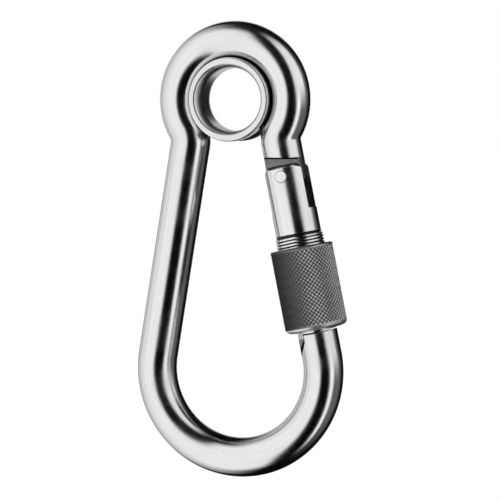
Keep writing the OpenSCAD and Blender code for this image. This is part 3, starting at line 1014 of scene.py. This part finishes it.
class SNAPHOOK_OT_bar(BuildStep, bpy.types.Operator):
    """Builds the bent bar with its tenon, rivet hole and notched nose"""
    bl_idname = "snaphook.bar"
    bl_label = "Bent bar"

    def build(self, hook, finishes):
        bar = hook.bar
        milled = milled_and_shaded_steel()
        corner_shadow = steel("painted_corner_shadow_steel", finishes.stain, finishes.polish + 0.3, wear=0)
        polished = steel("polished_bar_steel", finishes.bar, finishes.polish)
        piece = closed_rod("bent_bar", bar_grid(bar), polished)
        carve(piece, closed_rod("tenon_tool", in_frame(tenon_grid(bar))), "UNION", milled)
        carve(piece, pin_tool(bar.rivet_hole_d, 5 * MM), "DIFFERENCE", milled)
        for tool in notch_tools(bar):
            carve(piece, tool, "DIFFERENCE", milled)
        # Painted shadow: the relief grooves in the inner corners are cut with a near-black steel.
        for tool in corner_tools(bar):
            carve(piece, tool, "DIFFERENCE", corner_shadow)
        highest, lowest = bar.shoulder_up + 1.5 * MM, -bar.nose_r - MM
        mill_faces(piece.data, milled, lambda place, normal: (abs(normal[:, 2]) > 0.8)
                   & (place[:, 2] > lowest) & (place[:, 2] < highest) & (abs(place[:, 0]) < bar.bar_d))
        store_bar_places(piece.data, bar)
        shade(piece, turned_radius=(-31 * MM, 5 * MM, (bar.bar_d / 2,)))
        finish_piece(piece, "hook_body")


class SNAPHOOK_OT_thimble(BuildStep, bpy.types.Operator):
    """Builds the flared lining of the eye"""
    bl_idname = "snaphook.thimble"
    bl_label = "Eye lining"

    def build(self, hook, finishes):
        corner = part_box("eye_thimble")[1]
        inner = MOUNTS["eye_bore"]["dims"]["r_mm"] * MM
        outline = thimble_profile(hook.bar, hook.thimble, inner, corner.x, corner.y)
        a = angles(192)
        radius, depth = outline[:, :1], outline[:, 1:]
        grid = np.stack([radius * np.cos(a), depth + 0 * a, radius * np.sin(a)], -1)
        rolled = steel("rolled_lining_steel", finishes.thimble, finishes.polish + 0.12,
                       across=1.2, along=1.2)
        piece = closed_ring("eye_lining", grid, rolled)
        spots = places(piece.data)
        reach = np.hypot(spots[:, 0], spots[:, 2])
        ring = np.arctan2(spots[:, 2], spots[:, 0])
        wrapped = np.stack([3 * np.cos(ring), 3 * np.sin(ring), reach / MM * 6], -1)
        store(piece.data, "place", wrapped)
        # Painted shade on the lining: points inside the rim's radius, away from both rims and from the
        # bore, darken over 0.6 mm inwards.
        store(piece.data, "painted_shade", np.clip((corner.x - reach) / (0.6 * MM), 0, 1)
              * (abs(spots[:, 1]) < 0.8 * corner.y) * (reach > inner + MM))
        shade(piece, 40)
        finish_piece(piece, "eye_thimble")


class SNAPHOOK_OT_gate(BuildStep, bpy.types.Operator):
    """Builds the swinging gate with its fork, thread, bore and lip"""
    bl_idname = "snaphook.gate"
    bl_label = "Gate"

    def build(self, hook, finishes):
        gate = hook.gate
        milled = milled_and_shaded_steel()
        polished = steel("polished_gate_steel", finishes.gate, finishes.polish, shade_strength=0.98)
        piece = closed_rod("gate", in_frame(gate_grid(gate, hook.bar)), polished)
        carve(piece, lip_tool(gate, hook.bar), "UNION", polished)
        for tool in (*gate_tools(gate), pin_tool(gate.rivet_d, 6 * MM)):
            carve(piece, tool, "DIFFERENCE", milled)
        radius, crest = gate.barrel_d / 2, gate.thread_d / 2

        # Painted shade on the gate: the barrel's top darkens inwards from its rim, under the bar's
        # shoulder, and the thread darkens towards its roots.
        def painted_shade(local):
            reach, top = radial(local), local[:, 2] > 0
            threaded = (local[:, 2] < gate.relief_h - gate.thread_top) & (reach > radius - 0.1 * MM)
            inner = np.clip((radius - reach) / (0.6 * gate.chamfer), 0, 1)
            return np.where(top, inner, threaded * np.clip((crest - reach) / gate.thread_depth, 0, 1))

        grain_along(piece.data, painted_shade)
        shade(piece, turned_radius=(-10 * MM, gate.barrel_up, (radius,)))
        finish_piece(piece, "gate_barrel")


class SNAPHOOK_OT_rivet(BuildStep, bpy.types.Operator):
    """Builds the hinge rivet with its dressed, slightly crowned ends"""
    bl_idname = "snaphook.rivet"
    bl_label = "Hinge rivet"

    def build(self, hook, finishes):
        dressed = steel("dressed_rivet_steel", finishes.rivet, finishes.polish + 0.1, across=3, along=3)
        piece = closed_rod("rivet", in_frame(rivet_grid(hook.gate)), dressed)
        reach = hook.gate.rivet_d / 2

        # Painted shade round the rivet: the shank inside the barrel is fully shaded and each end darkens
        # towards its rim as a dark ring.
        def rim(local):
            out = np.hypot(local[:, 0], local[:, 2])
            low = abs(local[:, 1]) < hook.gate.barrel_d / 2 - 0.05 * MM
            return np.where(low, 1.0, np.clip((out - 0.84 * reach) / (0.1 * reach), 0, 0.9))

        grain_along(piece.data, rim)
        shade(piece)
        finish_piece(piece, "hinge_rivet")


class SNAPHOOK_OT_plunger(BuildStep, bpy.types.Operator):
    """Builds the plunger that presses on the tenon's tail"""
    bl_idname = "snaphook.plunger"
    bl_label = "Plunger"

    def build(self, hook, finishes):
        plunger_finish = steel("dark_plunger_steel", finishes.plunger, finishes.polish + 0.12)
        piece = closed_rod("plunger", in_frame(plunger_grid(hook.spring)), plunger_finish)
        grain_along(piece.data)
        shade(piece)
        finish_piece(piece, "spring_plunger")


class SNAPHOOK_OT_spring(BuildStep, bpy.types.Operator):
    """Builds the coiled gate spring with closed ends"""
    bl_idname = "snaphook.spring"
    bl_label = "Gate spring"

    def build(self, hook, finishes):
        drawn = steel("spring_wire_steel", finishes.wire, finishes.polish + 0.08)
        piece = closed_rod("coil_spring", in_frame(spring_grid(hook.spring, hook.gate)), drawn)
        grain_along(piece.data)
        shade(piece)
        finish_piece(piece, "gate_spring")
        tall = np.ptp(in_gate(places(piece.data))[:, 2]) + hook.spring.gap
        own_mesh(piece)


class SNAPHOOK_OT_sleeve(BuildStep, bpy.types.Operator):
    """Builds the knurled locking sleeve"""
    bl_idname = "snaphook.sleeve"
    bl_label = "Locking sleeve"

    def build(self, hook, finishes):
        sleeve = hook.sleeve
        shaded_sleeve_steel = steel("knurled_sleeve_steel", finishes.sleeve, finishes.polish + 0.3,
                          wear=0.7, shade_strength=0.95)
        faced = steel("faced_sleeve_steel", finishes.faced, finishes.polish + 0.2)
        piece = closed_ring("knurled_sleeve", in_frame(sleeve_grid(sleeve)), shaded_sleeve_steel)
        outer = sleeve.sleeve_d / 2
        low = sleeve.cone_h + sleeve.band_h - sleeve.sleeve_down
        high = sleeve.sleeve_len - sleeve.sleeve_down
        # Painted shade on the sleeve: the side round 200 degrees is darker than the other, the knurl
        # darkens towards its grooves' roots, and the rest above the round-over is darkened by 0.8.
        dark_side, mean, swing = math.radians(200), 0.56, 0.38

        def groove(local):
            reach = radial(local)
            knurled = (local[:, 2] > low - 0.01 * MM) & (local[:, 2] < high - sleeve.edge)
            depth = np.clip((outer - reach) / sleeve.knurl_depth, 0, 1)
            side = local[:, :2] @ [math.cos(dark_side), math.sin(dark_side)] / reach
            side_shade = mean + swing * side
            return np.where(knurled, np.maximum(depth, side_shade), 0.8 * (local[:, 2] > low))

        grain_along(piece.data, groove)
        shade(piece, 50)
        worn = 0.3 * sleeve.knurl_depth
        tips = np.clip((radial(in_gate(places(piece.data))) - outer + worn) / worn, 0, 1)
        piece.data.attributes["edge"].data.foreach_set("value", (0.6 * tips).astype(np.float32))
        piece.data.materials.append(faced)
        mill_faces(piece.data, faced, lambda place, normal: (place[:, 2] < low - 0.03 * MM)
                   & (radial(place) > sleeve.mouth_d / 2 + 0.1 * MM))
        finish_piece(piece, "lock_sleeve")


def floor_material(colour):
    """Plain pale floor with a faint mottle."""
    material = bpy.data.materials.new("pale_floor")
    material.use_nodes = True
    tree = material.node_tree
    surface = tree.nodes["Principled BSDF"]
    spot = tree.nodes.new("ShaderNodeTexCoord").outputs["Object"]
    mottle = remap(tree, noise(tree, spot, 12, 3), 0.3, 0.7, 0, 0.4)
    shaded = tuple(c * 0.98 for c in colour)
    tree.links.new(blend_colour(tree, mottle, tuple(colour), shaded), surface.inputs["Base Color"])
    surface.inputs["Roughness"].default_value = 0.8
    surface.inputs["Emission Color"].default_value = (1, 1, 1, 1)
    surface.inputs["Emission Strength"].default_value = 0.75
    return material


# Soft light panels round the hook: centre and half width of their azimuth, centre and half
# height of their elevation, in degrees, the softness of their edges and their level.
PANELS = {
    "left_wall": (-32, 30, -3, 67, 14, 1.15),
    "left_side": (-78, 16, -3, 65, 14, 0.98),
    "left_far": (-111, 17, -3, 62, 22, 0.72),
    "right_strip": (67, 11, -29, 31, 12, 1.15),
    "right_upper": (80, 32, 35, 33, 16, 1.0),
    "right_grey": (100, 32, -10, 46, 24, 0.14),
    "back_wall": (-158, 24, 0, 26, 10, 0.85),
}


def light_world(world):
    """A dark studio with soft panels, which the camera itself sees as plain white."""
    world.use_nodes = True
    tree = world.node_tree
    tree.nodes.clear()
    ray = tree.nodes.new("ShaderNodeSeparateXYZ")
    tree.links.new(tree.nodes.new("ShaderNodeTexCoord").outputs["Generated"], ray.inputs[0])
    x, y, z = ray.outputs
    azimuth = maths(tree, "ARCTAN2", x, maths(tree, "MULTIPLY", y, -1.0))
    elevation = maths(tree, "ARCSINE", z)
    light = 0.002
    for centre, half_width, height, half_height, soft, level in PANELS.values():
        panel = place_group(tree, soft_panel_group, Azimuth=azimuth, Elevation=elevation,
                            Centre=math.radians(centre), Half_width=math.radians(half_width),
                            Height=math.radians(height), Half_height=math.radians(half_height),
                            Soft=math.radians(soft), Level=level)
        light = maths(tree, "ADD", panel["Light"], light)
    studio = tree.nodes.new("ShaderNodeBackground")
    tree.links.new(light, studio.inputs["Strength"])
    plain = tree.nodes.new("ShaderNodeBackground")
    plain.inputs["Strength"].default_value = 1.0
    plain.inputs["Color"].default_value = (1, 1, 1, 1)
    seen = tree.nodes.new("ShaderNodeMixShader")
    tree.links.new(tree.nodes.new("ShaderNodeLightPath").outputs["Is Camera Ray"], seen.inputs[0])
    tree.links.new(studio.outputs[0], seen.inputs[1])
    tree.links.new(plain.outputs[0], seen.inputs[2])
    tree.links.new(seen.outputs[0], tree.nodes.new("ShaderNodeOutputWorld").inputs[0])


def place_camera(studio):
    """A long lens that looks at the hook from the given azimuth and elevation."""
    data = bpy.data.cameras.new("camera")
    data.lens = studio.lens
    camera = bpy.data.objects.new("camera", data)
    bpy.context.scene.collection.objects.link(camera)
    a, e = studio.azimuth, studio.elevation
    back = Vector((math.sin(a) * math.cos(e), -math.cos(a) * math.cos(e), math.sin(e)))
    camera.location = Vector((studio.aim_x, 0, studio.aim_z)) + back * studio.distance
    camera.rotation_mode = "QUATERNION"
    roll = Quaternion((0, 0, 1), studio.roll)
    camera.rotation_quaternion = (-back).to_track_quat("-Z", "Y") @ roll
    bpy.context.scene.camera = camera


class SNAPHOOK_OT_studio(BuildStep, bpy.types.Operator):
    """Sets up the floor, the light and the camera"""
    bl_idname = "snaphook.studio"
    bl_label = "Studio"

    def build(self, hook, finishes):
        studio = hook.studio
        drop = CAD_BOX[0].z - studio.floor_drop
        square = box_outline((-FLOOR_HALF, -FLOOR_HALF), (FLOOR_HALF, FLOOR_HALF))
        mesh = bpy.data.meshes.new("floor")
        mesh.from_pydata(np.insert(square, 2, drop, axis=1).tolist(), [], [(0, 1, 2, 3)])
        floor = add_piece("floor", mesh)
        floor.visible_glossy = False
        mesh.materials.append(floor_material(studio.floor))
        scene = bpy.context.scene
        scene.world = scene.world or bpy.data.worlds.new("studio")
        light_world(scene.world)
        scene.view_settings.view_transform = "Standard"
        place_camera(studio)


class SNAPHOOK_PT_panel(bpy.types.Panel):
    """Lists the sizes, the colours and the steps that build the hook"""
    bl_label = "Snap Hook"
    bl_idname = "SNAPHOOK_PT_panel"
    bl_space_type = "VIEW_3D"
    bl_region_type = "UI"
    bl_category = "Snap Hook"

    def draw(self, context):
        hook = settings()
        for name in ("bar", "thimble", "gate", "spring", "sleeve", "finishes", "studio"):
            section = self.layout.box()
            section.label(text=name.title())
            group = getattr(hook, name)
            for key in group.__annotations__:
                section.prop(group, key)
        for step in STEPS:
            self.layout.operator(step.bl_idname)


GROUPS = (BarSizes, ThimbleSizes, GateSizes, SpringSizes, SleeveSizes, Finishes, Studio, SnapHook)
STEPS = (SNAPHOOK_OT_bar, SNAPHOOK_OT_thimble, SNAPHOOK_OT_gate, SNAPHOOK_OT_rivet,
         SNAPHOOK_OT_plunger, SNAPHOOK_OT_spring, SNAPHOOK_OT_sleeve, SNAPHOOK_OT_studio)


def register():
    for cls in (*GROUPS, *STEPS, SNAPHOOK_PT_panel):
        bpy.utils.register_class(cls)
    bpy.types.Scene.snap_hook = PointerProperty(type=SnapHook)


def unregister():
    del bpy.types.Scene.snap_hook
    for cls in reversed((*GROUPS, *STEPS, SNAPHOOK_PT_panel)):
        bpy.utils.unregister_class(cls)


def main():
    """Builds every piece and the studio."""
    register()
    for step in STEPS:
        getattr(bpy.ops.snaphook, step.bl_idname.split(".")[1])()


if __name__ == "__main__":
    main()
